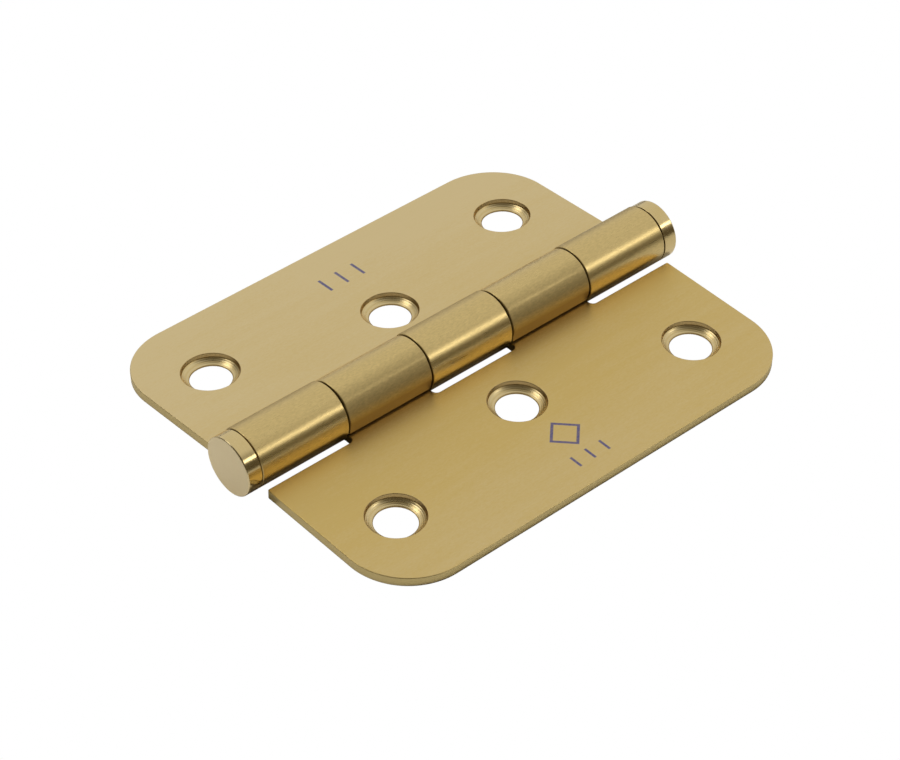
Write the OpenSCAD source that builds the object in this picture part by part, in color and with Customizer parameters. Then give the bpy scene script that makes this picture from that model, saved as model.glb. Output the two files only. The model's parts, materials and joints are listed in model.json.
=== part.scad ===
// Butt hinge of folded sheet: two leaves whose knuckles are curled round one pin.
// The pin lies along Y through the origin, the leaves spread along X, and +Z is up.
// Both leaves are shown open, resting on the barrel and on their outer edges.

/* [Leaves] */
// Length of both leaves along the pin
leaf_len = 76; // [60:1:110]
// Width of the open hinge, from outer edge to outer edge, with both leaves level
open_w = 65.4; // [54:0.2:90]
// Thickness of the sheet
sheet_t = 1.5; // [1.2:0.05:2]
// Depth of a leaf's inner face below the pin axis
leaf_drop = 1.9; // [1.5:0.1:2.3]
// Radius of each leaf's two outer corners
corner_r = 10; // [2:0.5:14]
// Gap between a leaf's inner edge and the barrel that turns beside it
edge_gap = 0.75; // [0.5:0.05:1.5]
// Fillet where a knuckle's strip runs into the leaf's inner edge
notch_fillet = 0.8; // [0.3:0.1:1]

/* [Barrel] */
// Diameter of the pin
pin_d = 6; // [5:0.1:8]
// Radial clearance of the pin in the knuckles
pin_clearance = 0.05; // [0.02:0.01:0.09]
// Axial gap between two knuckles
knuckle_gap = 0.25; // [0.1:0.05:0.5]
// Radius of the fillet under the leaf, where the sheet leaves the barrel
crank_fillet = 1.25; // [0.8:0.05:2]
// Slot between a knuckle's curled end and the leaf's inner face
curl_slot = 0.25; // [0.1:0.05:0.5]

/* [Screw holes] */
// Diameter of the countersinks at the leaf's inner face
csk_d = 8.6; // [8:0.1:9.5]
// Depth of the straight lip above the countersink's cone
csk_lip = 0.6; // [0.3:0.05:0.8]
// Diameter of the screw holes at the leaf's outer face, below the cone
hole_d = 6.2; // [5.6:0.1:6.8]
// Length of the straight hole below the cone
hole_land = 0.2; // [0.1:0.05:0.3]
// Distance from a leaf's ends to the outer holes
hole_end = 10; // [8:0.5:16]
// Distance from a leaf's outer edge to the outer holes
hole_edge = 12.4; // [8:0.1:16]
// Distance from the pin axis to the middle hole
mid_hole_x = 13.8; // [12:0.1:18]

/* [End caps] */
// Thickness of the cap's disc
cap_t = 2.5; // [1:0.1:5]
// Depth of the cap's stem in the end knuckle
stem_len = 5; // [3:0.5:8]
// End play between the pin and each stem
pin_end_play = 0.1; // [0.05:0.05:0.5]
// Chamfer of the cap's rim and of the ends of the pin and stems
edge_chamfer = 0.2; // [0.1:0.05:0.4]

/* [Hidden] */
// Roundness of the on-screen mesh
$fn = 96;
// Knuckles on the whole barrel, the outer ones on the same leaf
knuckles = 5;
// Overlap of joined shapes, and overrun of a cutter past the face that it cuts
overlap = 1;

bore_r = pin_d / 2 + pin_clearance;
barrel_r = bore_r + sheet_t;
leaf_w = open_w / 2;
pitch = leaf_len / knuckles;
inner_edge = barrel_r + edge_gap;

// Leaves hang from the pin until their outer edges are level with the barrel's underside
leaf_depth = leaf_drop + sheet_t;
droop = asin(barrel_r / norm([leaf_w, leaf_depth])) - atan(leaf_depth / leaf_w);

// The fillet's centre lies below the leaf, one fillet radius from both surfaces
fillet_z = leaf_depth + crank_fillet;
fillet_x = sqrt(pow(barrel_r + crank_fillet, 2) - pow(fillet_z, 2));
// Extra radius of the fillet's cutter, so that it crosses both surfaces
fillet_bite = 0.02;
curl_angle = asin((leaf_drop - curl_slot) / barrel_r);

csk_r = csk_d / 2;
hole_r = hole_d / 2;
pin_len = leaf_len - 2 * (stem_len + pin_end_play);

brass = [0.76, 0.63, 0.37];
bright_brass = [0.82, 0.70, 0.42];
steel = [0.72, 0.72, 0.70];

// Ends of knuckle number i along the pin, short of each neighbour by half the gap
function knuckle_start(i) = -leaf_len / 2 + i * pitch + (i > 0 ? knuckle_gap / 2 : 0);
function knuckle_end(i) = -knuckle_start(knuckles - 1 - i);

// Section of a knuckle: a leaf's sheet runs in from the right, round under the pin,
// up the far side and back over the top, and ends just clear of the leaf's inner face
module knuckle_section() {
    difference() {
        union() {
            circle(barrel_r);
            translate([0, -leaf_depth])
                square([inner_edge + overlap, sheet_t]);
            polygon([[0, 0], [fillet_x, -fillet_z], [fillet_x, -leaf_depth]]);
        }
        circle(bore_r);
        translate([fillet_x, -fillet_z])
            circle(crank_fillet + fillet_bite);
        polygon([[0, 0], [leaf_drop / tan(curl_angle), -leaf_drop], [0, -leaf_drop]]);
    }
}

// Knuckle number i with the strip that joins it to its leaf
module knuckle(i) {
    translate([0, knuckle_end(i), 0])
        rotate([90, 0, 0])
            linear_extrude(knuckle_end(i) - knuckle_start(i))
                knuckle_section();
}

// Cut-out in a leaf's inner edge, between two places along the pin, with round corners
module cut_out(y_from, y_to) {
    translate([0, y_from])
        square([inner_edge - notch_fillet, y_to - y_from]);
    translate([0, y_from + notch_fillet])
        square([inner_edge, y_to - y_from - 2 * notch_fillet]);
    for (y = [y_from + notch_fillet, y_to - notch_fillet])
        translate([inner_edge - notch_fillet, y])
            circle(notch_fillet);
}

// Flat of the leaf whose knuckles start with number first, clear of the other knuckles
module leaf_flat(first) {
    end = leaf_len / 2;
    start_x = inner_edge - notch_fillet;
    difference() {
        union() {
            translate([start_x, -end])
                square([leaf_w - corner_r - start_x, leaf_len]);
            translate([start_x, corner_r - end])
                square([leaf_w - start_x, leaf_len - 2 * corner_r]);
            for (side = [-1, 1])
                translate([leaf_w - corner_r, side * (end - corner_r)])
                    circle(corner_r);
        }
        for (i = [1 - first:2:knuckles - 1])
            cut_out(
                i > 0 ? knuckle_end(i - 1) : -end - overlap,
                i < knuckles - 1 ? knuckle_start(i + 1) : end + overlap
            );
    }
}

// Countersunk screw hole, cut from the leaf's outer face up through its inner face
module screw_hole() {
    rotate_extrude()
        polygon([
            [0, -sheet_t - overlap],
            [hole_r, -sheet_t - overlap],
            [hole_r, hole_land - sheet_t],
            [csk_r, -csk_lip],
            [csk_r, overlap],
            [0, overlap]
        ]);
}

// Leaf towards +X with every second knuckle, from knuckle number first
module leaf(first) {
    outer_hole_x = leaf_w - hole_edge;
    outer_hole_y = leaf_len / 2 - hole_end;
    difference() {
        union() {
            translate([0, 0, -leaf_depth])
                linear_extrude(sheet_t)
                    leaf_flat(first);
            for (i = [first:2:knuckles - 1])
                knuckle(i);
        }
        translate([0, 0, -leaf_drop]) {
            translate([mid_hole_x, 0, 0])
                screw_hole();
            for (side = [-1, 1])
                translate([outer_hole_x, side * outer_hole_y, 0])
                    screw_hole();
        }
    }
}

// Leaf with the first, middle and last knuckles, drooping towards -X
module three_knuckle_leaf() {
    color(brass)
        mirror([1, 0, 0])
            rotate([0, droop, 0])
                leaf(0);
}

// Leaf with the second and fourth knuckles, drooping towards +X
module two_knuckle_leaf() {
    color(brass)
        rotate([0, droop, 0])
            leaf(1);
}

// Plain pin, trapped between the stems of the two caps
module hinge_pin() {
    pin_r = pin_d / 2;
    color(steel)
        rotate([90, 0, 0])
            rotate_extrude()
                polygon([
                    [0, -pin_len / 2],
                    [pin_r - edge_chamfer, -pin_len / 2],
                    [pin_r, edge_chamfer - pin_len / 2],
                    [pin_r, pin_len / 2 - edge_chamfer],
                    [pin_r - edge_chamfer, pin_len / 2],
                    [0, pin_len / 2]
                ]);
}

// Flat cap standing on an end knuckle, with a stem pressed into the bore
module cap() {
    color(bright_brass)
        rotate_extrude()
            polygon([
                [0, -stem_len],
                [bore_r - edge_chamfer, -stem_len],
                [bore_r, edge_chamfer - stem_len],
                [bore_r, 0],
                [barrel_r - edge_chamfer / 2, 0],
                [barrel_r, edge_chamfer / 2],
                [barrel_r, cap_t - edge_chamfer],
                [barrel_r - edge_chamfer, cap_t],
                [0, cap_t]
            ]);
}

// Cap at the -Y end of the barrel
module near_cap() {
    translate([0, -leaf_len / 2, 0])
        rotate([90, 0, 0])
            cap();
}

// Cap at the +Y end of the barrel
module far_cap() {
    translate([0, leaf_len / 2, 0])
        rotate([-90, 0, 0])
            cap();
}

three_knuckle_leaf();
two_knuckle_leaf();
hinge_pin();
near_cap();
far_cap();
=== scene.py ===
"""Folded sheet butt hinge in satin brass: its surfaces, finishes, studio and camera."""
import json
import math

import bpy
import numpy as np
from bpy.props import FloatProperty, FloatVectorProperty, PointerProperty
from mathutils import Matrix, Vector
from mathutils.geometry import delaunay_2d_cdt


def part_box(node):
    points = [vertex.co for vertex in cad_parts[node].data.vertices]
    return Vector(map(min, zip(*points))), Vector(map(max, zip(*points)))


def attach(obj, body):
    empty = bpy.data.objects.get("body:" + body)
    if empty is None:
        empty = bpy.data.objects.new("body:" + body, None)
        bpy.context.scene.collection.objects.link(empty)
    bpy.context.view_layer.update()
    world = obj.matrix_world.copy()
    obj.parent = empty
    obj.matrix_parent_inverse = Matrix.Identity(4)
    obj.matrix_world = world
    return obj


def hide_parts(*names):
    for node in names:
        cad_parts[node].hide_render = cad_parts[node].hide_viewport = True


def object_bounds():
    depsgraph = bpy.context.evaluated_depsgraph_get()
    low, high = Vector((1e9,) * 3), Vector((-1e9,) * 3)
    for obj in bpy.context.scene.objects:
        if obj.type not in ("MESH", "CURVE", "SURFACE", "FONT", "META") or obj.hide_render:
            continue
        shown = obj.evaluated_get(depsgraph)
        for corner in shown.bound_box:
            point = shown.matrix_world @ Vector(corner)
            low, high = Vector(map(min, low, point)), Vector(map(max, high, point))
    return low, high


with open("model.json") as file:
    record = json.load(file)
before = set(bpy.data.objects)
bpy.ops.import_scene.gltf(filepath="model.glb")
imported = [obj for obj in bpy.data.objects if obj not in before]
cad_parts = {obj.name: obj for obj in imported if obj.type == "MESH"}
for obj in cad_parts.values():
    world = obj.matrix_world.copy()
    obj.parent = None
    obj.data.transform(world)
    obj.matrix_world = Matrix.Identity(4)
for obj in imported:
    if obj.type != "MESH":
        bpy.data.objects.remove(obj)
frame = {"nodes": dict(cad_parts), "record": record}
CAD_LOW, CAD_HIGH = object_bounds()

bl_info = {
    "name": "Sheet Butt Hinge",
    "version": (1, 0, 0),
    "blender": (4, 5, 0),
    "location": "3D View > Sidebar > Hinge",
    "description": "Butt hinge of folded sheet with turned end caps, on a plain studio floor",
    "category": "Object",
}

MM = 0.001

# Sizes that the frame gives: the barrel and its caps, and how far the leaves droop
CAP_LOW, CAP_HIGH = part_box("near_cap")
LEAF_LOW, LEAF_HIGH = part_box("two_knuckle_leaf")
HALF_LEN = LEAF_HIGH.y
BARREL_R = CAP_HIGH.x
CAP_T = -HALF_LEN - CAP_LOW.y
STEM_LEN = CAP_HIGH.y + HALF_LEN
MOUNTS = {mount["name"]: mount for mount in frame["record"]["mounts"]}
DROOP = -math.asin(MOUNTS["right_leaf_back"]["axis"][0])
KNUCKLES = 5

# How finely the surfaces are divided
CORNER_STEPS = 24
CRANK_STEPS = 8
RING_STEPS = 150
EDGE_STEPS = 5
HOLE_STEPS = 4
HOLE_SEGMENTS = 128
POINTS_PER_RING = 12
CAP_SEGMENTS = 192

# Countersinks: the small radii of their profile, where the cone's steep part ends as shares
# of its width and depth, and the fine rings that the tool leaves on the cone
RIM_ROUND = 0.09 * MM
LIP_FILLET = 0.28 * MM
HOLE_ROUND = 0.06 * MM
CONE_BREAK = (0.5, 0.66)
RING_PITCH = 0.3 * MM
RING_SLOPE = 0.07

# Caps: the small radii of the stem, the shadow gap and the rim's lower edge
STEM_ROUND = 0.2 * MM
STEM_FILLET = 0.03 * MM
GAP_FILLET = 0.02 * MM
CAP_BREAK = 0.06 * MM

# Small marks: three bars on one leaf, and a plain diamond above three strokes on the other.
# Each is its kind, its middle along the blank and along the pin, and two sizes, all in mm.
MARK_EDGE = 0.06
FIXED_MARKS = (
    ("bar", 24.9, -3.0, 1.6, 0.22),
    ("bar", 24.9, 0.1, 1.6, 0.22),
    ("bar", 24.9, 3.2, 1.6, 0.22),
)
SWINGING_MARKS = (
    ("diamond", 23.0, 0.5, 2.6, 0.3),
    ("bar", 28.2, -2.3, 1.1, 0.2),
    ("bar", 28.2, 0.4, 1.1, 0.2),
    ("bar", 28.2, 3.1, 1.1, 0.2),
)

# Each leaf: its piece's name, side, direction along X, first knuckle, node, body, how pale
# its colour is painted, a painted light that makes the left leaf paler than the right, and its marks
LEAVES = (
    ("fixed_leaf_sheet", "left", -1, 0, "three_knuckle_leaf", "fixed_leaf", 0.93, FIXED_MARKS),
    ("swinging_leaf_sheet", "right", 1, 1, "two_knuckle_leaf", "swinging_leaf", 0.24, SWINGING_MARKS),
)

# Studio: each softbox's name, azimuth, elevation, distance, width, height and brightness
SOFTBOXES = (
    ("right_softbox", 126, 32, 1.3, 0.6, 0.19, 2.6),
    ("left_softbox", -50, 49, 1.3, 0.55, 0.45, 2.1),
)

# The spot lamp's azimuth, elevation and distance, and its size, which softens its shadows
SPOT_PLACE = (-70, 74, 1.6)
SPOT_SIZE = 0.04

# The floor's whiteness and its gap below the hinge. The room's size as a share of the floor's,
# the step in degrees of its ball, its tint where it is dim, and the cosines of the angles from
# the lit wall's middle between which the wall fades.
FLOOR_WHITE = 0.66
FLOOR_GAP = 0.01 * MM
ROOM_SHARE = 1.2
ROOM_STEP = 7.5
DIM_TINT = (1, 0.86, 0.62)
WALL_FADE = (0.21, 0.62)

# The camera's sensor in mm, and the nearest and farthest that it sees
SENSOR_WIDTH = 36
CLIP = (0.01, 20)


# ---------------------------------------------------------------- sizes and colours

def length_property(name, description, default, low, high):
    """A length, whose default and limits are given in mm."""
    return FloatProperty(
        name=name, description=description, default=default * MM, min=low * MM, max=high * MM,
        unit="LENGTH", precision=5)


def colour_property(name, description, default):
    """A colour, as its shares of red, green and blue."""
    return FloatVectorProperty(
        name=name, description=description, default=default, size=3, min=0, max=1, subtype="COLOR")


def roughness_property(name, description, default):
    """A surface's roughness, from near 0, polished, to 1, dull."""
    return FloatProperty(
        name=name, description=description, default=default, min=0.05, max=1, subtype="FACTOR")


class HingeSizes(bpy.types.PropertyGroup):
    """Sizes of the hinge's sheet, its bends, its cut-outs and its small edges."""

    sheet: length_property(
        "Sheet", "Thickness of the leaves' sheet", 1.5, 0.5, 3)
    drop: length_property(
        "Leaf drop", "Depth of a leaf's inner face below the pin's axis", 1.9, 1.0, 3)
    corner: length_property(
        "Corner radius", "Radius of each leaf's two outer corners", 10, 1, 14)
    edge_gap: length_property(
        "Edge gap", "Gap between a leaf's inner edge and the barrel beside it", 0.75, 0.4, 2)
    notch: length_property(
        "Notch fillet", "Fillet where a knuckle's strip leaves the leaf", 0.8, 0.3, 1.5)
    crank: length_property(
        "Crank fillet", "Radius under the leaf, where the sheet leaves the barrel", 1.25, 0.5, 2)
    curl_slot: length_property(
        "Curl slot", "Slot between a curl's free end and the leaf", 0.25, 0.05, 1)
    knuckle_gap: length_property(
        "Knuckle gap", "Gap along the pin between two knuckles", 0.25, 0.05, 1)
    tab_corner: length_property(
        "Tab corner", "Radius of the sheared corners at the curls' ends", 0.3, 0.2, 1)
    edge_round: length_property(
        "Edge round", "Radius that tumbling leaves along every sheared edge", 0.14, 0.02, 0.18)
    rim_d: length_property(
        "Countersink", "Diameter of the countersinks at the inner face", 8.6, 6, 12)
    lip: length_property(
        "Countersink lip", "Depth of the lip above the countersink's cone", 0.6, 0.1, 0.9)
    lip_draft: length_property(
        "Lip draft", "How much the lip narrows towards the cone", 0.1, 0, 0.3)
    dish: length_property(
        "Dish", "Radius between the steep and the shallow part of the cone", 3, 0.1, 4)
    land: length_property(
        "Hole land", "Length of the straight hole below the cone", 0.2, 0.1, 0.5)
    cap_rim: length_property(
        "Cap rim", "Radius of the rounded rim of the caps' faces", 0.22, 0.05, 1)
    cap_relief: length_property(
        "Cap relief", "Width of the shadow gap turned under each cap's rim", 0.16, 0.02, 0.5)
    cap_undercut: length_property(
        "Cap undercut", "Depth of the shadow gap turned under each cap's rim", 0.7, 0.1, 1.2)


class HingeFinish(bpy.types.PropertyGroup):
    """Colours and roughness of the hinge's finishes."""

    brass: colour_property(
        "Brass", "Colour of the brass coating on the knuckles and the caps", (0.772, 0.582, 0.244))
    # The pale and deep brass are mixed by random tone and by painted light, which makes the flats paler on
    # the left leaf and towards their outer edge
    brass_pale: colour_property(
        "Pale brass", "Colour of the coating where it is paler", (0.87, 0.695, 0.365))
    brass_deep: colour_property(
        "Deep brass", "Colour of the coating where it is thickest", (0.79, 0.575, 0.20))
    # Painted shade: a dark brown that stands in for the shade in the crease by the curls' free ends and on
    # the countersinks' lips and bores
    painted_shade: colour_property(
        "Painted_shade", "Colour of the coating in the crease by the curls' free ends", (0.46, 0.31, 0.115))
    sheared: colour_property(
        "Sheared edge", "Colour of the sheet's sheared edges", (0.70, 0.555, 0.25))
    torn: colour_property(
        "Torn edge", "Colour low on the sheared edges, where the sheet tore", (0.60, 0.48, 0.245))
    steel: colour_property(
        "Steel", "Colour of the pin's drawn steel", (0.56, 0.55, 0.53))
    cap_face: colour_property(
        "Cap face", "Colour that the caps' faces are tinted with", (0.92, 0.80, 0.56))
    ink: colour_property(
        "Mark", "Colour of the small marks on the leaves", (0.10, 0.11, 0.32))
    satin: roughness_property(
        "Satin", "Roughness of the leaves' brushed faces", 0.42)
    rolled: roughness_property(
        "Rolled", "Roughness of the knuckles, which the rolling has polished", 0.3)
    worked: roughness_property(
        "Worked", "Roughness that the press leaves near the curls' free ends", 0.44)
    countersunk: roughness_property(
        "Countersunk", "Roughness of the countersinks", 0.30)
    turned: roughness_property(
        "Turned", "Roughness of the caps", 0.16)


class HingeStudio(bpy.types.PropertyGroup):
    """Where the camera stands and how the studio is lit."""

    azimuth: FloatProperty(
        name="Azimuth", description="Direction of the camera round the hinge",
        default=math.radians(48.593), subtype="ANGLE")
    elevation: FloatProperty(
        name="Elevation", description="Height of the camera above the horizon",
        default=math.radians(39.812), subtype="ANGLE")
    roll: FloatProperty(
        name="Roll", description="Turn of the camera about its own line of sight",
        default=math.radians(-0.161), subtype="ANGLE")
    distance: FloatProperty(
        name="Distance", description="Distance of the camera from the hinge",
        default=404.485 * MM, min=0.1, max=10, unit="LENGTH", precision=5)
    aside: FloatProperty(
        name="Step aside", description="Shift of the camera to its right",
        default=-0.329 * MM, min=-1, max=1, unit="LENGTH", precision=6)
    rise: FloatProperty(
        name="Step up", description="Shift of the camera upwards",
        default=-5.462 * MM, min=-1, max=1, unit="LENGTH", precision=6)
    lens: FloatProperty(
        name="Lens", description="Focal length of the camera on a 36 mm wide sensor",
        default=113.677, min=20, max=500, unit="CAMERA")
    floor_half: FloatProperty(
        name="Floor", description="Half the width of the studio's floor",
        default=4.0, min=0.5, max=20, unit="LENGTH")
    room_light: FloatProperty(
        name="Room light", description="Brightness of the room between the lamps",
        default=0.09, min=0, max=5)
    wall_light: FloatProperty(
        name="Wall light", description="Brightness that a lit wall adds on one side of the room",
        default=0.57, min=0, max=5)
    wall_azimuth: FloatProperty(
        name="Wall azimuth", description="Direction of the lit wall's middle",
        default=math.radians(-150), subtype="ANGLE")
    wall_elevation: FloatProperty(
        name="Wall elevation", description="Height of the lit wall's middle above the horizon",
        default=math.radians(30), subtype="ANGLE")
    pool_light: FloatProperty(
        name="Pool light", description="Brightness that the spot lamp gives a white floor round the hinge",
        default=0.63, min=0, max=5)
    pool_radius: FloatProperty(
        name="Pool radius", description="Radius of the spot lamp's pool of light on the floor",
        default=120 * MM, min=0.01, max=2, unit="LENGTH")


# ---------------------------------------------------------------- surfaces

def rounded_path(corners, radii, steps, closed):
    """Points and right-hand normals of a path of straight sides joined by arcs.

    At each corner the normal turns evenly from one side's to the next side's. A point of
    the arc is the arc's start plus the radius times the change of normal, or minus it on a
    turn to the right. An open path's two ends only give the directions it starts and ends in.
    """
    corners = np.array(corners, float)
    radii = np.array(radii, float)
    sides = np.roll(corners, -1, axis=0) - corners
    ahead = sides / np.linalg.norm(sides, axis=1)[:, None]
    behind = np.roll(ahead, 1, axis=0)
    across = behind[:, 0] * ahead[:, 1] - behind[:, 1] * ahead[:, 0]
    turn = np.arctan2(across, (behind * ahead).sum(axis=1))
    start = corners - behind * (radii * np.tan(np.abs(turn) / 2))[:, None]
    angle = turn[:, None] * np.linspace(0, 1, steps + 1)
    before = np.stack([behind[:, 1], -behind[:, 0]], axis=1)[:, None, :]
    normals = np.stack([
        before[..., 0] * np.cos(angle) - before[..., 1] * np.sin(angle),
        before[..., 0] * np.sin(angle) + before[..., 1] * np.cos(angle)], axis=2)
    reach = (np.sign(turn) * radii)[:, None, None]
    points = start[:, None, :] + reach * (normals - normals[:, :1])
    used = slice(None) if closed else slice(1, -1)
    return points[used].reshape(-1, 2), normals[used].reshape(-1, 2)


def add_stations(points, normals, stations):
    """The closed path with one more point wherever it crosses a station in u.

    Also gives the pairs of new points that face each other across a knuckle's strip.
    """
    ahead = np.roll(points, -1, axis=0) - points
    with np.errstate(divide="ignore", invalid="ignore"):
        share = (stations[None, :] - points[:, :1]) / ahead[:, :1]
    side, station = np.nonzero((share > 1e-6) & (share < 1 - 1e-6))
    share = share[side, station]
    place = np.concatenate([np.arange(len(points)), side + share])
    order = np.argsort(place, kind="stable")
    all_points = np.concatenate([points, points[side] + share[:, None] * ahead[side]])[order]
    all_normals = np.concatenate([normals, normals[side]])[order]
    new_place = np.argsort(order)[len(points):]
    facing = new_place[np.lexsort((all_points[new_place, 1], station))].reshape(-1, 2)
    return all_points, all_normals, facing


def ring_faces(rings, length, closed_rings, closed_length=True):
    """Quads of a grid of vertices numbered ring by ring, each ring of the given length."""
    ring = np.arange(rings if closed_rings else rings - 1)
    step = np.arange(length if closed_length else length - 1)
    ring, step = (grid.ravel() for grid in np.meshgrid(ring, step, indexing="ij"))
    next_ring = (ring + 1) % rings
    next_step = (step + 1) % length
    return np.stack([
        ring * length + step, ring * length + next_step,
        next_ring * length + next_step, next_ring * length + step], axis=1)


def inside(points, loop):
    """Whether each point lies in the closed loop: a line from it crosses the loop an odd number of times."""
    x, y = points[:, :1], points[:, 1:]
    x0, y0 = loop.T
    x1, y1 = np.roll(loop, -1, axis=0).T
    spans = (y0 > y) != (y1 > y)
    rise = np.where(y1 == y0, 1, y1 - y0)
    return (spans & (x < x0 + (x1 - x0) * (y - y0) / rise)).sum(axis=1) % 2 == 1


def fill(outline, holes, ties):
    """Triangles of the flat region inside the outline and outside the holes, anticlockwise.

    The outline and the holes are closed loops of points, numbered one after the other.
    The ties are pairs of outline points that an edge has to join.
    """
    loops = [outline, *holes]
    firsts = np.cumsum([0] + [len(loop) for loop in loops])
    edges = [
        np.stack([first + np.arange(len(loop)), first + np.roll(np.arange(len(loop)), -1)], axis=1)
        for first, loop in zip(firsts, loops)]
    points = np.concatenate(loops)
    edges = np.concatenate(edges + [ties])
    found = delaunay_2d_cdt((points / MM).tolist(), edges.tolist(), [], 0, 1e-7)
    if len(found[0]) != len(points):
        raise RuntimeError("the flat region's outline touches or crosses itself")
    triangles = np.array(found[2])
    middle = points[triangles].mean(axis=1)
    kept = inside(middle, outline)
    for hole in holes:
        kept &= ~inside(middle, hole)
    triangles = triangles[kept]
    a, b, c = (points[triangles[:, k]] for k in range(3))
    area = (b[:, 0] - a[:, 0]) * (c[:, 1] - a[:, 1]) - (b[:, 1] - a[:, 1]) * (c[:, 0] - a[:, 0])
    return np.where((area < 0)[:, None], triangles[:, ::-1], triangles)


def raised(flat, heights):
    """Places or normals (x, y, z) as one list, from a grid of (x, y) and the z of its rows or columns."""
    return np.concatenate([flat, np.broadcast_to(heights, flat.shape[:2] + (1,))], axis=2).reshape(-1, 3)


def make_object(name, vertices, faces, normals, values):
    """Mesh object of the given vertices, faces and vertex normals, with named values on its vertices."""
    a, b, c = (vertices[np.concatenate([part[:, [0, k, k + 1]] for part in faces
                                        for k in range(1, part.shape[1] - 1)])[:, j]]
               for j in range(3))
    if np.einsum("ij,ij->i", a, np.cross(b, c)).sum() <= 0:
        raise RuntimeError(f"{name} is inside out")
    mesh = bpy.data.meshes.new(name)
    mesh.from_pydata(vertices.tolist(), [], [face for part in faces for face in part.tolist()])
    if mesh.validate():
        raise RuntimeError(f"{name} has faces that don't fit together")
    mesh.shade_smooth()
    mesh.normals_split_custom_set_from_vertices(normals.tolist())
    for key, value in values.items():
        attribute = mesh.attributes.new(key, "FLOAT", "POINT")
        attribute.data.foreach_set("value", value.astype(np.float32))
    piece = bpy.data.objects.new(name, mesh)
    bpy.context.scene.collection.objects.link(piece)
    return piece


def circle(segments):
    """Directions (cos a, sin a) at even steps of the angle a once round."""
    angle = np.arange(segments) * 2 * math.pi / segments
    return np.stack([np.cos(angle), np.sin(angle)], axis=1)


def lathe(profile, normals, segments, to_row):
    """A profile of (radius, height) turned about its axis, with both ends closed by a pole.

    Vertex (i, k) is radius i at angle k, with height i along the axis. to_row places the
    axis in the row frame: it maps (across, up, along) vectors to row vectors.
    """
    around = circle(segments)
    poles = np.array([[0, 0, profile[0, 1]], [0, 0, profile[-1, 1]]])
    places = raised(profile[:, None, :1] * around, profile[:, None, 1:])
    vertices = np.concatenate([places, poles]) @ to_row.T
    pole_normals = np.array([[0, 0, -1], [0, 0, 1]], float)
    turned = raised(normals[:, None, :1] * around, normals[:, None, 1:])
    turned = np.concatenate([turned, pole_normals]) @ to_row.T
    walls = ring_faces(len(profile), segments, closed_rings=False)
    step = np.arange(segments)
    after = np.roll(step, -1)
    last = (len(profile) - 1) * segments
    first_pole = len(profile) * segments
    base = np.stack([np.full(segments, first_pole), after, step], axis=1)
    top = np.stack([np.full(segments, first_pole + 1), last + step, last + after], axis=1)
    return vertices, [walls, np.concatenate([base, top])], turned


# ---------------------------------------------------------------- leaves

# How the curls' outer surface leans from a true circle, in degrees: the angle from the free
# end, and the lean there. It leaves a flat at the free end and a low ridge before the top.
CURL_LEAN = np.array([
    (0, 13.7), (26, -12.3), (29, 0), (52, 0), (68, -8), (76, 2.46), (110, 2.46), (112, 0)])


def tool_marks(profile, normals, first, last, pitch, slope):
    """A profile with fine turned rings on its part from the first to the last given point.

    That part is resampled evenly along its length s, and gains the height
    slope * pitch / (2 pi) * (1 - cos(2 pi s / pitch)), with a whole number of rings. Its
    normals lean back along it by the height's slope, the given slope times the sine.
    """
    part, turned = profile[first:last + 1], normals[first:last + 1]
    along = np.concatenate([[0], np.cumsum(np.linalg.norm(np.diff(part, axis=0), axis=1))])
    count = round(along[-1] / pitch)
    pitch = along[-1] / count
    s = np.linspace(0, along[-1], count * POINTS_PER_RING + 1)
    part = np.stack([np.interp(s, along, part[:, k]) for k in range(2)], axis=1)
    turned = np.stack([np.interp(s, along, turned[:, k]) for k in range(2)], axis=1)
    ahead = np.stack([-turned[:, 1], turned[:, 0]], axis=1)
    phase = 2 * math.pi * s[:, None] / pitch
    part = part + turned * (slope * pitch / (2 * math.pi) * (1 - np.cos(phase)))
    turned = turned - ahead * (slope * np.sin(phase))
    turned /= np.linalg.norm(turned, axis=1)[:, None]
    return (np.concatenate([profile[:first], part, profile[last + 1:]]),
            np.concatenate([normals[:first], turned, normals[last + 1:]]))


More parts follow.
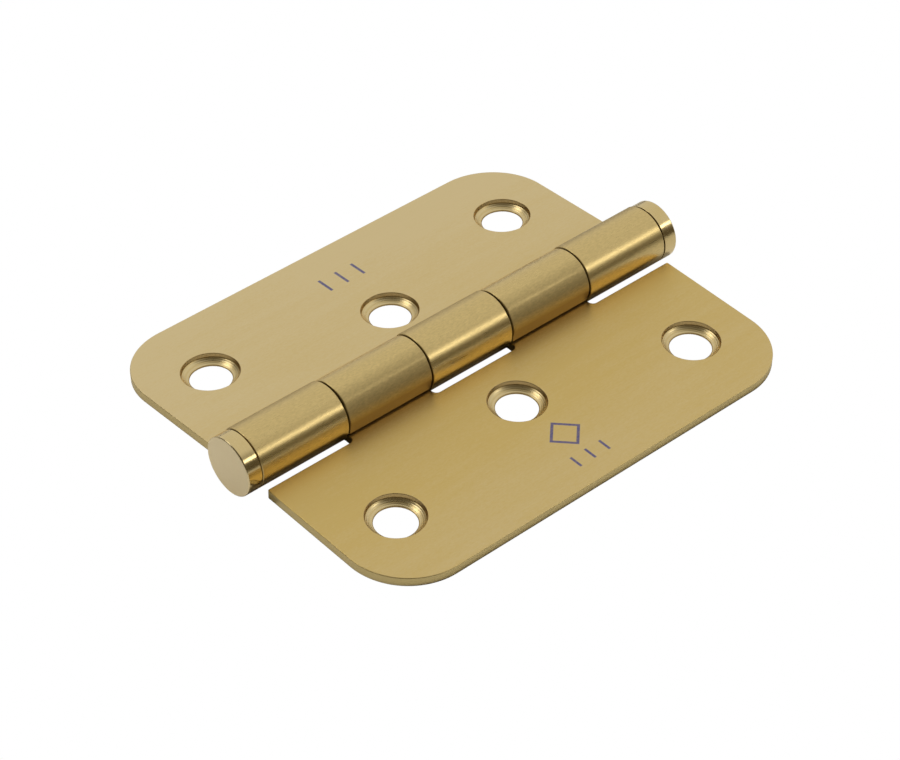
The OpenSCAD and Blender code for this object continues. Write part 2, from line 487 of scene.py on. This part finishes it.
class Bend:
    """Where the sheet's blank goes: flat, a reverse bend, then round the pin to the curl's end."""

    def __init__(self, sizes):
        self.half = sizes.sheet / 2
        depth = sizes.drop + sizes.sheet
        self.crank_r = sizes.crank + self.half
        self.ring_r = BARREL_R - self.half
        self.crank_z = -depth - sizes.crank
        self.start = math.sqrt((BARREL_R + sizes.crank) ** 2 - self.crank_z ** 2)
        self.crank_turn = math.atan2(self.start, -self.crank_z)
        end_angle = math.asin((sizes.drop - sizes.curl_slot) / BARREL_R)
        self.ring_turn = 1.5 * math.pi + self.crank_turn + end_angle
        self.crank_len = self.crank_r * self.crank_turn
        self.end = self.start - self.crank_len - self.ring_r * self.ring_turn
        self.inner = BARREL_R + sizes.edge_gap
        self.outer = (LEAF_HIGH.x + sizes.drop * math.sin(DROOP)) / math.cos(DROOP)
        self.lean_at = np.radians(np.linspace(0, CURL_LEAN[-1, 0], 441))
        self.lean = np.radians(np.interp(np.degrees(self.lean_at), *CURL_LEAN.T))
        steps = np.diff(self.lean_at) * (self.lean[1:] + self.lean[:-1]) / 2
        self.rise = -BARREL_R * np.concatenate([[0], np.cumsum(steps)])

    def place(self, blank, normals, side):
        """Row-frame places and normals of blank points (u, v, w) and blank normals.

        Past the start of the bend the sheet's upward direction tilts by the arc length
        over the crank's radius, and then back by the rest of the arc length over the
        ring's radius. A point is the bend's centre plus its signed radius times that
        direction. On the curl's outer surface the normal also leans by the curl's lean, and
        the radius grows by minus the barrel's radius times the integral of the lean. The
        whole then droops about the pin's axis, towards its own side.
        """
        u, v, w = blank.T
        run = np.maximum(self.start - u, 0)
        ring = run > self.crank_len
        tilt = np.minimum(run / self.crank_r, self.crank_turn)
        tilt = tilt - np.maximum(run - self.crank_len, 0) / self.ring_r
        from_end = np.where(ring, self.ring_turn - (run - self.crank_len) / self.ring_r, math.inf)
        outward = 0.5 - w / (2 * self.half)
        rise = outward * np.interp(from_end, self.lean_at, self.rise, right=0)
        lean = outward * np.interp(from_end, self.lean_at, self.lean, right=0)
        radius = np.where(ring, w - self.ring_r - rise, w + self.crank_r)
        centre_x = np.where(ring, 0, np.maximum(u, self.start))
        centre_z = np.where(ring, 0, self.crank_z)
        cos, sin = np.cos(tilt - DROOP), np.sin(tilt - DROOP)
        x = centre_x * math.cos(DROOP) + centre_z * math.sin(DROOP) - radius * sin
        z = centre_z * math.cos(DROOP) - centre_x * math.sin(DROOP) + radius * cos
        cos, sin = np.cos(tilt + lean - DROOP), np.sin(tilt + lean - DROOP)
        turned_x = normals[:, 0] * cos - normals[:, 2] * sin
        turned_z = normals[:, 0] * sin + normals[:, 2] * cos
        return (np.stack([side * x, v, z], axis=1),
                np.stack([side * turned_x, normals[:, 1], turned_z], axis=1))


def knuckle_span(number, sizes):
    """The two ends of a knuckle along the pin, half a gap short of each neighbour."""
    pitch = 2 * HALF_LEN / KNUCKLES
    low = -HALF_LEN + number * pitch
    high = low + pitch
    low += sizes.knuckle_gap / 2 if number > 0 else 0
    high -= sizes.knuckle_gap / 2 if number < KNUCKLES - 1 else 0
    return low, high


def blank_corners(first, bend, sizes):
    """Corners (u, v) and radii of the flat blank, anticlockwise from its outer corner at the low end."""
    corners = [(bend.outer, -HALF_LEN, sizes.corner), (bend.outer, HALF_LEN, sizes.corner)]
    strips = [knuckle_span(number, sizes) for number in range(first, KNUCKLES, 2)][::-1]
    at_end = strips[0][1] > HALF_LEN - MM
    if not at_end:
        corners.append((bend.inner, HALF_LEN, sizes.tab_corner))
    for low, high in strips:
        if high < HALF_LEN - MM:
            corners.append((bend.inner, high, sizes.notch))
        corners += [(bend.end, high, sizes.tab_corner), (bend.end, low, sizes.tab_corner)]
        if low > -HALF_LEN + MM:
            corners.append((bend.inner, low, sizes.notch))
    if not at_end:
        corners.append((bend.inner, -HALF_LEN, sizes.tab_corner))
    corners = np.array(corners)
    return corners[:, :2], corners[:, 2]


def hole_centres(side_name, bend):
    """Centres (u, v) of a leaf's three screw holes, from the frame's mounts, without the droop."""
    places = []
    for which in ("near", "middle", "far"):
        x, y, z = MOUNTS[f"{side_name}_screw_hole_{which}"]["pos_m"]
        places.append((abs(x) * math.cos(DROOP) - z * math.sin(DROOP), y))
    return np.array(places)


def countersink(hole_r, sizes):
    """Profile (radius, up) and normals of a countersink, from the inner face down to the outer face."""
    half = sizes.sheet / 2
    rim_r = sizes.rim_d / 2
    cone_r = rim_r - sizes.lip_draft
    cone_depth = sizes.sheet - sizes.lip - sizes.land
    break_r = cone_r - CONE_BREAK[0] * (cone_r - hole_r)
    profile, normals = rounded_path(
        [(rim_r + MM, half), (rim_r, half), (cone_r, half - sizes.lip),
         (break_r, half - sizes.lip - CONE_BREAK[1] * cone_depth),
         (hole_r, sizes.land - half), (hole_r, -half), (hole_r + MM, -half)],
        [0, RIM_ROUND, LIP_FILLET, sizes.dish, HOLE_ROUND, HOLE_ROUND, 0], HOLE_STEPS, closed=False)
    cone_start = 2 * HOLE_STEPS + 1
    cone_end = 3 * (HOLE_STEPS + 1)
    return tool_marks(profile, normals, cone_start, cone_end, RING_PITCH, RING_SLOPE)


def make_leaf(name, side_name, side, first, sizes):
    """A leaf: its blank's outline with a rounded edge profile carried along it, its
    countersinks turned from their profile, both faces filled, and all of it folded."""
    bend = Bend(sizes)
    half = bend.half
    soft = sizes.edge_round
    corners, radii = blank_corners(first, bend, sizes)
    outline, outward = rounded_path(corners, radii, CORNER_STEPS, closed=True)
    crank_stations = np.linspace(bend.start, bend.start - bend.crank_len, CRANK_STEPS, endpoint=False)
    ring_stations = np.linspace(bend.start - bend.crank_len, bend.end + sizes.tab_corner + 0.05 * MM,
                                RING_STEPS)
    outline, outward, ties = add_stations(
        outline, outward, np.concatenate([crank_stations, ring_stations]))

    # Edge profile: (inward, up) from the inner face, round the edge, to the outer face
    edge, edge_normal = rounded_path(
        [(1, half), (0, half), (0, -half), (1, -half)], [0, soft, soft, 0], EDGE_STEPS, closed=False)
    blank = [raised(outline[:, None] - outward[:, None] * edge[None, :, :1], edge[None, :, 1:])]
    normals = [raised(-outward[:, None] * edge_normal[None, :, :1], edge_normal[None, :, 1:])]
    faces = [ring_faces(len(outline), len(edge), closed_rings=True, closed_length=False)]
    base = len(outline) * len(edge)
    sheared = [np.tile(np.abs(edge_normal[:, 0]), len(outline))]
    turning = [np.zeros(base)]
    machined = [np.zeros(base)]

    hole_r = MOUNTS[f"{side_name}_screw_hole_near"]["dims"]["r_mm"] * MM
    profile, profile_normal = countersink(hole_r, sizes)
    around = circle(HOLE_SEGMENTS)
    size = len(profile) * HOLE_SEGMENTS
    on_cut = np.ones(len(profile))
    on_cut[[0, -1]] = 0
    top_loops, low_loops, top_numbers, low_numbers = [], [], [], []
    for centre in hole_centres(side_name, bend):
        flat = centre + profile[:, None, :1] * around
        blank.append(raised(flat, profile[:, None, 1:]))
        normals.append(raised(profile_normal[:, None, :1] * around, profile_normal[:, None, 1:]))
        faces.append(base + ring_faces(len(profile), HOLE_SEGMENTS, closed_rings=False))
        sheared.append(np.zeros(size))
        turning.append(np.repeat(profile[:, 0] / MM, HOLE_SEGMENTS))
        machined.append(np.repeat(on_cut, HOLE_SEGMENTS))
        top_loops.append(flat[0])
        low_loops.append(flat[-1])
        top_numbers.append(base + np.arange(HOLE_SEGMENTS))
        low_numbers.append(base + size - HOLE_SEGMENTS + np.arange(HOLE_SEGMENTS))
        base += size

    # Both faces, between the edge's first or last row and the countersinks' first or last rings
    row = np.arange(len(outline)) * len(edge)
    top = fill(outline - outward * edge[0, 0], top_loops, ties)
    faces.append(np.concatenate([row, *top_numbers])[top])
    low = fill(outline - outward * edge[-1, 0], low_loops, ties)
    faces.append(np.concatenate([row + len(edge) - 1, *low_numbers])[low][:, ::-1])

    blank = np.concatenate(blank)
    vertices, turned = bend.place(blank, np.concatenate(normals), side)
    if side < 0:
        faces = [part[:, ::-1] for part in faces]
    values = {
        "sheared": np.concatenate(sheared),
        "turning": np.concatenate(turning),
        "machined": np.concatenate(machined),
        "depth": 0.5 - blank[:, 2] / sizes.sheet,
        "run": blank[:, 0] / MM,
        "curl": np.clip((bend.start - bend.crank_len - blank[:, 0]) / bend.ring_r, 0, None),
    }
    return make_object(name, vertices, faces, turned, values)


# ---------------------------------------------------------------- finishes

class Graph:
    """A new material's node tree, built node by node."""

    def __init__(self, name):
        self.material = bpy.data.materials.new(name)
        self.material.use_nodes = True
        self.tree = self.material.node_tree
        self.tree.nodes.clear()

    def add(self, kind, inputs=None, output=0, **settings):
        """Adds a node and gives one of its outputs. An input is a socket to link or a value to set."""
        node = self.tree.nodes.new(kind)
        for key, value in settings.items():
            setattr(node, key, value)
        for key, value in (inputs or {}).items():
            socket = node.inputs[key]
            if isinstance(value, bpy.types.NodeSocket):
                self.tree.links.new(value, socket)
            else:
                socket.default_value = value
        return node.outputs[output] if node.outputs else None

    def maths(self, operation, a, b=0.0, clamp=False):
        """One sum, product or other operation on two numbers."""
        return self.add("ShaderNodeMath", {0: a, 1: b}, operation=operation, use_clamp=clamp)

    def times(self, a, b):
        """Product of two numbers."""
        return self.maths("MULTIPLY", a, b)

    def total(self, first, *others):
        """Sum of the numbers, added in order."""
        for other in others:
            first = self.maths("ADD", first, other)
        return first

    def place(self, scale=(1, 1, 1), offset=(0, 0, 0)):
        """The piece's own coordinates, scaled and moved."""
        where = self.add("ShaderNodeTexCoord", output="Object")
        return self.add("ShaderNodeMapping", {"Vector": where, "Scale": scale, "Location": offset})

    def noise(self, vector, scale, detail=3.0, roughness=0.5):
        """Smooth noise from about 0 to 1."""
        return self.add("ShaderNodeTexNoise", {
            "Vector": vector, "Scale": scale, "Detail": detail, "Roughness": roughness})

    def span(self, value, low, high, to_low=0.0, to_high=1.0):
        """A value carried from one range to another, and held at its ends."""
        return self.add("ShaderNodeMapRange", {
            "Value": value, "From Min": low, "From Max": high, "To Min": to_low, "To Max": to_high})

    def vary(self, noise, low, high):
        """Noise whose usual range, 0.3 to 0.7, is carried to a range of its own."""
        return self.span(noise, 0.3, 0.7, low, high)

    def value(self, name):
        """One of the named values on the piece's vertices."""
        return self.add("ShaderNodeAttribute", output="Fac", attribute_name=name)

    def blend(self, share, a, b):
        """Colour a where the share is 0, and colour b where it is 1."""
        node = self.tree.nodes.new("ShaderNodeMix")
        node.data_type = "RGBA"
        for socket, value in ((node.inputs[0], share), (node.inputs[6], a), (node.inputs[7], b)):
            if isinstance(value, bpy.types.NodeSocket):
                self.tree.links.new(value, socket)
            else:
                socket.default_value = value
        return node.outputs[2]

    def metal(self, colour, rough, height, strength, depth):
        """Ends the tree with a metal of the given colour, roughness and bump."""
        bump = self.add("ShaderNodeBump", {"Height": height, "Strength": strength, "Distance": depth})
        shader = self.add("ShaderNodeBsdfPrincipled", {
            "Base Color": colour, "Metallic": 1.0, "Roughness": rough, "Normal": bump})
        self.add("ShaderNodeOutputMaterial", {"Surface": shader})
        return self.material


def rgba(colour):
    """A colour property as four numbers."""
    return (*colour, 1.0)


def mark_mask(graph, shapes):
    """Where the small marks are: 1 on them and 0 elsewhere, on the sheet's inner face only.

    A bar fills |x| < a, |y| < b. A diamond is the band where |x| + |y| is within b of a.
    """

    def below(value, limit):
        return graph.span(value, limit - MARK_EDGE, limit + MARK_EDGE, 1.0, 0.0)

    where = graph.add("ShaderNodeTexCoord", output="Object")
    along_pin = graph.add("ShaderNodeSeparateXYZ", {"Vector": where}, output="Y")
    along_pin = graph.times(along_pin, 1 / MM)
    along_blank = graph.value("run")
    mask = graph.span(graph.value("depth"), 0.002, 0.01, 1.0, 0.0)
    found = 0.0
    for kind, x, y, a, b in shapes:
        across = graph.maths("ABSOLUTE", graph.maths("SUBTRACT", along_blank, x))
        up = graph.maths("ABSOLUTE", graph.maths("SUBTRACT", along_pin, y))
        if kind == "bar":
            shape = graph.times(below(across, a), below(up, b))
        else:
            band = graph.maths("SUBTRACT", graph.total(across, up), a)
            shape = below(graph.maths("ABSOLUTE", band), b)
        found = graph.maths("MAXIMUM", found, shape)
    return graph.times(mask, found)


def sheet_material(name, finish, painted_leaf_paleness, curl_turn, lip_r, bore_r, seed, shapes):
    """Satin brass sheet: lines brushed along the pin, a fine speckle, clouds in the coating,
    grey sheared walls, turned rings in the countersinks, inked marks, painted shade in the
    crease by the curls' free ends and on the countersinks' lips and bores, and painted light
    that makes the flats paler on the left leaf and towards their outer edge.

    It follows the named values on the leaf's vertices: run, in mm along the blank, parts the
    flat of the leaf from the knuckles; curl, less the whole curl's angle, gives the angle from
    the curl's free end; turning is the radius in mm from a screw hole's axis.
    """
    graph = Graph(name)

    def brushed(stretch, scale, detail, roughness):
        return graph.noise(graph.place((1, stretch, 1), (seed, 0, 0)), scale, detail, roughness)

    lines = brushed(0.03, 7000, 2.0, 0.7)
    strokes = brushed(0.06, 4000, 3.0, 0.6)
    bands = brushed(0.08, 600, 2.0, 0.5)
    clouds = brushed(0.5, 60, 2.0, 0.5)
    speckle = brushed(0.4, 4200, 2.0, 0.6)
    grain = graph.noise(graph.place(), 14000, 1.0, 0.5)
    turning = graph.value("turning")
    rings = graph.add(
        "ShaderNodeTexNoise", {"W": turning, "Scale": 4.0, "Detail": 2.0, "Roughness": 0.6},
        noise_dimensions="1D")

    # Where each finish lies
    machined = graph.value("machined")
    depth = graph.value("depth")
    run = graph.value("run")
    barrel = graph.span(run, 4.0, 7.0, 1.0, 0.0)
    wall = graph.span(graph.value("sheared"), 0.75, 0.95)
    torn = graph.span(graph.total(depth, graph.vary(strokes, -0.06, 0.06)), 0.66, 0.9)
    from_end = graph.maths("SUBTRACT", curl_turn, graph.value("curl"))
    outer = graph.span(depth, 0.4, 0.6)
    # Painted shade: the outer face near each curl's free end, where the curl meets the leaf
    crease = graph.times(outer, graph.span(from_end, 0.42, 0.62, 1.0, 0.0))
    worked = graph.times(outer, graph.span(from_end, 1.35, 1.75, 1.0, 0.0))
    # Painted shade on the countersinks' lip and on the bore below the cone, where the recess is in shade
    lip = graph.times(machined, graph.span(turning, lip_r - 0.08, lip_r - 0.02))
    bore = graph.times(machined, graph.span(turning, bore_r + 0.05, bore_r + 0.12, 1.0, 0.0))
    inked = graph.times(mark_mask(graph, shapes), graph.vary(speckle, 0.72, 0.95))

    # Painted light: the leaf's paleness makes the left leaf paler than the right, and the span over run
    # makes each leaf paler towards its outer edge; the noises are random tone
    tone = graph.total(
        graph.vary(clouds, -0.14, 0.14),
        graph.span(run, 5.0, 32.0, painted_leaf_paleness - 0.28, painted_leaf_paleness + 0.12),
        graph.vary(strokes, -0.06, 0.06),
        graph.vary(bands, -0.08, 0.08))
    tone = graph.maths("ADD", tone, graph.vary(speckle, -0.12, 0.12), True)
    colour = graph.blend(tone, rgba(finish.brass_deep), rgba(finish.brass_pale))
    # Painted shade: the knuckles' colour is 0.2 darker near the curls' free ends, where the curls reflect
    # less light; the speckle is random tone
    shade = graph.maths("SUBTRACT", graph.vary(speckle, 0.92, 1.08), graph.times(worked, 0.2))
    knuckle = graph.add(
        "ShaderNodeVectorMath", {0: tuple(finish.brass), "Scale": shade}, operation="SCALE")
    colour = graph.blend(barrel, colour, knuckle)
    # Painted shade in the crease by the curls' free ends
    colour = graph.blend(crease, colour, rgba(finish.painted_shade))
    wall_colour = graph.blend(torn, rgba(finish.sheared), rgba(finish.torn))
    colour = graph.blend(wall, colour, wall_colour)
    ring_share = graph.span(graph.times(machined, graph.vary(rings, 0.0, 1.0)), 0.0, 1.0, 0.35, 1.0)
    turned = graph.blend(ring_share, rgba(finish.brass), rgba(finish.brass_pale))
    # Painted shade on the countersinks' lips and bores
    ledge_shade = graph.maths("MAXIMUM", graph.times(lip, 0.75), bore)
    turned = graph.blend(ledge_shade, turned, rgba(finish.painted_shade))
    colour = graph.blend(machined, colour, turned)
    colour = graph.blend(inked, colour, rgba(finish.ink))

    rough = graph.total(
        graph.vary(lines, -0.03, 0.03),
        graph.span(run, 3.5, 5.5, finish.rolled, finish.satin),
        graph.times(worked, finish.worked - finish.rolled),
        graph.vary(clouds, -0.02, 0.02),
        graph.times(wall, 0.03),
        graph.times(machined, finish.countersunk - finish.satin))

    height = graph.total(
        graph.times(lines, 0.15),
        graph.times(strokes, 0.05),
        graph.times(speckle, graph.span(barrel, 0.0, 1.0, 0.7, 1.25)))
    height = graph.times(height, graph.maths("SUBTRACT", 1.0, machined))
    height = graph.total(height, graph.times(wall, grain))
    return graph.metal(colour, rough, height, 0.2, 0.006 * MM)


def cap_material(name, finish):
    """Finely turned brass on the cap's side, and straight satin lines on its face."""
    graph = Graph(name)
    facing = graph.value("facing")
    rings = graph.noise(graph.place((0.02, 1, 0.02)), 9000, 2.0, 0.6)
    lines = graph.noise(graph.place((1, 1, 0.02)), 5000, 3.0, 0.65)
    clouds = graph.noise(graph.place(), 250, 3.0, 0.5)
    pattern = graph.total(
        graph.times(rings, graph.maths("SUBTRACT", 1.0, facing)), graph.times(lines, facing))
    tone = graph.maths("ADD", graph.vary(pattern, 0.1, 0.5), graph.vary(clouds, -0.1, 0.3), True)
    colour = graph.blend(tone, rgba(finish.brass), rgba(finish.brass_pale))
    colour = graph.blend(graph.times(facing, 0.5), colour, rgba(finish.cap_face))
    rough = graph.total(graph.times(facing, 0.16), finish.turned, graph.vary(pattern, -0.03, 0.03))
    return graph.metal(colour, rough, pattern, 0.15, 0.004 * MM)


def steel_material(name, finish):
    """Drawn steel: fine lines along the pin and a little darker clouding."""
    graph = Graph(name)
    lines = graph.noise(graph.place((1, 0.01, 1)), 6000, 2.0, 0.6)
    clouds = graph.noise(graph.place(), 300, 3.0, 0.5)
    dark = tuple(0.7 * part for part in finish.steel)
    colour = graph.blend(graph.vary(clouds, 0.0, 1.0), (*dark, 1.0), rgba(finish.steel))
    return graph.metal(colour, graph.vary(lines, 0.2, 0.36), lines, 0.3, 0.004 * MM)


# ---------------------------------------------------------------- operators

class HINGE_OT_leaves(bpy.types.Operator):
    """Folds the two leaves and gives them their satin brass finish."""

    bl_idname = "hinge.leaves"
    bl_label = "Leaves"

    def execute(self, context):
        sizes, finish = context.scene.hinge_sizes, context.scene.hinge_finish
        for name, side_name, side, first, node, body, share, shapes in LEAVES:
            bore_r = MOUNTS[f"{side_name}_screw_hole_near"]["dims"]["r_mm"]
            piece = make_leaf(name, side_name, side, first, sizes)
            piece.data.materials.append(
                sheet_material(f"satin_brass_{side_name}", finish, share, Bend(sizes).ring_turn,
                               (sizes.rim_d / 2 - sizes.lip_draft) / MM, bore_r, side * 0.37, shapes))
            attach(piece, body)
            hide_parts(node)
        return {"FINISHED"}


class HINGE_OT_caps(bpy.types.Operator):
    """Turns the two end caps."""

    bl_idname = "hinge.caps"
    bl_label = "End caps"

    def execute(self, context):
        sizes, finish = context.scene.hinge_sizes, context.scene.hinge_finish
        material = cap_material("turned_brass", finish)
        stem_r = BARREL_R - sizes.sheet
        ledge = BARREL_R - sizes.cap_undercut
        profile, normals = rounded_path(
            [(0, -STEM_LEN), (stem_r, -STEM_LEN), (stem_r, 0), (ledge, 0), (ledge, sizes.cap_relief),
             (BARREL_R, sizes.cap_relief), (BARREL_R, CAP_T), (0, CAP_T)],
            [0, STEM_ROUND, STEM_FILLET, GAP_FILLET, GAP_FILLET, CAP_BREAK, sizes.cap_rim, 0],
            EDGE_STEPS, closed=False)
        for end, name, node in ((-1, "near_end_cap", "near_cap"), (1, "far_end_cap", "far_cap")):
            to_row = np.array([[-end, 0, 0], [0, 0, end], [0, 1, 0]], float)
            vertices, faces, turned = lathe(profile, normals, CAP_SEGMENTS, to_row)
            vertices[:, 1] += end * HALF_LEN
            values = {"facing": np.clip(turned[:, 1] * end, 0, 1)}
            piece = make_object(name, vertices, faces, turned, values)
            piece.data.materials.append(material)
            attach(piece, "fixed_leaf")
            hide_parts(node)
        return {"FINISHED"}


class HINGE_OT_pin(bpy.types.Operator):
    """Gives the frame's pin its drawn steel finish."""

    bl_idname = "hinge.pin"
    bl_label = "Pin"

    def execute(self, context):
        pin = frame["nodes"]["hinge_pin"]
        pin.data.materials.clear()
        pin.data.materials.append(steel_material("drawn_steel", context.scene.hinge_finish))
        return {"FINISHED"}


def direction(azimuth, elevation):
    """Unit vector from the hinge towards a place round it: azimuth 0 is towards -Y, 90 towards +X."""
    return Vector((
        math.sin(azimuth) * math.cos(elevation),
        -math.cos(azimuth) * math.cos(elevation),
        math.sin(elevation)))


def hang(name, lamp, azimuth, elevation, distance):
    """An object that holds a lamp at a place round the hinge, given in degrees, and aims it there."""
    holder = bpy.data.objects.new(name, lamp)
    back = direction(math.radians(azimuth), math.radians(elevation))
    holder.location = back * distance
    holder.rotation_mode = "QUATERNION"
    holder.rotation_quaternion = (-back).to_track_quat("-Z", "Y")
    bpy.context.scene.collection.objects.link(holder)
    return holder


def spot(name, azimuth, elevation, distance, radius, brightness):
    """A spot lamp that lights a white floor to the given brightness, in a pool of the given radius.

    Its power is the radiant intensity that the pool's middle needs, times 4 pi squared. It
    isn't seen in reflections.
    """
    lamp = bpy.data.lights.new(name, "SPOT")
    lamp.spot_size = 2 * math.atan(radius / distance)
    lamp.spot_blend = 1
    lamp.shadow_soft_size = SPOT_SIZE
    lamp.energy = brightness * distance ** 2 / math.sin(math.radians(elevation)) * 4 * math.pi ** 2
    hang(name, lamp, azimuth, elevation, distance).visible_glossy = False


def softbox(name, azimuth, elevation, distance, width, height, brightness):
    """A rectangular lamp, of the given brightness, that only metal reflects."""
    lamp = bpy.data.lights.new(name, "AREA")
    lamp.shape = "RECTANGLE"
    lamp.size = width
    lamp.size_y = height
    lamp.energy = brightness * math.pi * width * height
    hang(name, lamp, azimuth, elevation, distance).visible_diffuse = False


class HINGE_OT_studio(bpy.types.Operator):
    """Makes the pale floor, the soft lamps and the camera."""

    bl_idname = "hinge.studio"
    bl_label = "Studio"

    def execute(self, context):
        studio = context.scene.hinge_studio
        self.make_floor(studio)
        self.make_room(studio)
        for lamp in SOFTBOXES:
            softbox(*lamp)
        spot("left_spot", *SPOT_PLACE, studio.pool_radius, studio.pool_light)
        self.make_backdrop(context)
        context.scene.view_settings.view_transform = "Standard"
        self.make_camera(context, studio)
        return {"FINISHED"}

    def make_floor(self, studio):
        """A pale floor, which lights the hinge from below and is shaded by it."""
        half = studio.floor_half
        z = CAD_LOW.z - FLOOR_GAP
        corners = [(-half, -half, z), (half, -half, z), (half, half, z), (-half, half, z)]
        mesh = bpy.data.meshes.new("studio_floor")
        mesh.from_pydata(corners, [], [(0, 1, 2, 3)])
        floor = bpy.data.objects.new("studio_floor", mesh)
        bpy.context.scene.collection.objects.link(floor)
        graph = Graph("floor_white")
        white = graph.add("ShaderNodeBsdfDiffuse", {"Color": (FLOOR_WHITE,) * 3 + (1,)})
        graph.add("ShaderNodeOutputMaterial", {"Surface": white})
        mesh.materials.append(graph.material)
        floor.visible_camera = False

    def make_room(self, studio):
        """The dim room round the lamps: a large ball that only the hinge and the floor see.

        Its brightness is the room light, plus the wall light times a smooth step in the
        cosine of the angle from the lit wall's middle.
        """
        up = np.radians(np.arange(-90, 90 + ROOM_STEP, ROOM_STEP))[:, None]
        around = circle(round(360 / ROOM_STEP))
        radius = ROOM_SHARE * studio.floor_half
        points = radius * raised(np.cos(up)[..., None] * around, np.sin(up)[..., None])
        mesh = bpy.data.meshes.new("studio_room")
        faces = ring_faces(len(up), len(around), closed_rings=False)
        mesh.from_pydata(points.tolist(), [], faces.tolist())
        room = bpy.data.objects.new("studio_room", mesh)
        bpy.context.scene.collection.objects.link(room)
        graph = Graph("room_grey")
        out = graph.add("ShaderNodeVectorMath", {0: graph.place()}, operation="NORMALIZE")
        middle = direction(studio.wall_azimuth, studio.wall_elevation)
        cosine = graph.add(
            "ShaderNodeVectorMath", {0: out, 1: middle}, output="Value", operation="DOT_PRODUCT")
        near = graph.add(
            "ShaderNodeMapRange", {"Value": cosine, "From Min": WALL_FADE[0], "From Max": WALL_FADE[1]},
            interpolation_type="SMOOTHSTEP")
        dim = tuple(studio.room_light * part for part in DIM_TINT) + (1.0,)
        lit = (studio.room_light + studio.wall_light,) * 3 + (1.0,)
        glow = graph.add("ShaderNodeEmission", {"Color": graph.blend(near, dim, lit), "Strength": 1.0})
        graph.add("ShaderNodeOutputMaterial", {"Surface": glow})
        mesh.materials.append(graph.material)
        room.visible_camera = False
        room.visible_shadow = False

    def make_backdrop(self, context):
        """A plain white backdrop, seen by the camera alone."""
        world = bpy.data.worlds.new("studio_backdrop")
        world.use_nodes = True
        background = world.node_tree.nodes["Background"]
        background.inputs["Color"].default_value = (1, 1, 1, 1)
        background.inputs["Strength"].default_value = 1.0
        seen = world.cycles_visibility
        seen.diffuse = seen.glossy = seen.transmission = seen.scatter = False
        context.scene.world = world

    def make_camera(self, context, studio):
        camera = bpy.data.cameras.new("studio_camera")
        camera.lens = studio.lens
        camera.sensor_width = SENSOR_WIDTH
        camera.clip_start, camera.clip_end = CLIP
        back = direction(studio.azimuth, studio.elevation)
        right = (-back).cross(Vector((0, 0, 1))).normalized()
        up = back.cross(right)
        cos, sin = math.cos(studio.roll), math.sin(studio.roll)
        right, up = cos * right + sin * up, cos * up - sin * right
        holder = bpy.data.objects.new("studio_camera", camera)
        place = back * studio.distance + right * studio.aside + up * studio.rise
        turn = Matrix((right, up, back)).transposed()
        holder.matrix_world = Matrix.Translation(place) @ turn.to_4x4()
        context.scene.collection.objects.link(holder)
        context.scene.camera = holder


class HINGE_PT_panel(bpy.types.Panel):
    """Lists the hinge's operators and properties in the sidebar."""

    bl_idname = "HINGE_PT_panel"
    bl_label = "Butt Hinge"
    bl_space_type = "VIEW_3D"
    bl_region_type = "UI"
    bl_category = "Hinge"

    def draw(self, context):
        for operator in OPERATORS:
            self.layout.operator(operator.bl_idname)
        for group in (context.scene.hinge_sizes, context.scene.hinge_finish, context.scene.hinge_studio):
            box = self.layout.box()
            for key in group.__annotations__:
                box.prop(group, key)


OPERATORS = (HINGE_OT_leaves, HINGE_OT_caps, HINGE_OT_pin, HINGE_OT_studio)
GROUPS = (("hinge_sizes", HingeSizes), ("hinge_finish", HingeFinish), ("hinge_studio", HingeStudio))


def register():
    for key, group in GROUPS:
        bpy.utils.register_class(group)
        setattr(bpy.types.Scene, key, PointerProperty(type=group))
    for made in (*OPERATORS, HINGE_PT_panel):
        bpy.utils.register_class(made)


def unregister():
    for made in (HINGE_PT_panel, *reversed(OPERATORS)):
        bpy.utils.unregister_class(made)
    for key, group in reversed(GROUPS):
        delattr(bpy.types.Scene, key)
        bpy.utils.unregister_class(group)


def main():
    """Makes every piece in order."""
    register()
    bpy.ops.hinge.leaves()
    bpy.ops.hinge.caps()
    bpy.ops.hinge.pin()
    bpy.ops.hinge.studio()


if __name__ == "__main__":
    main()
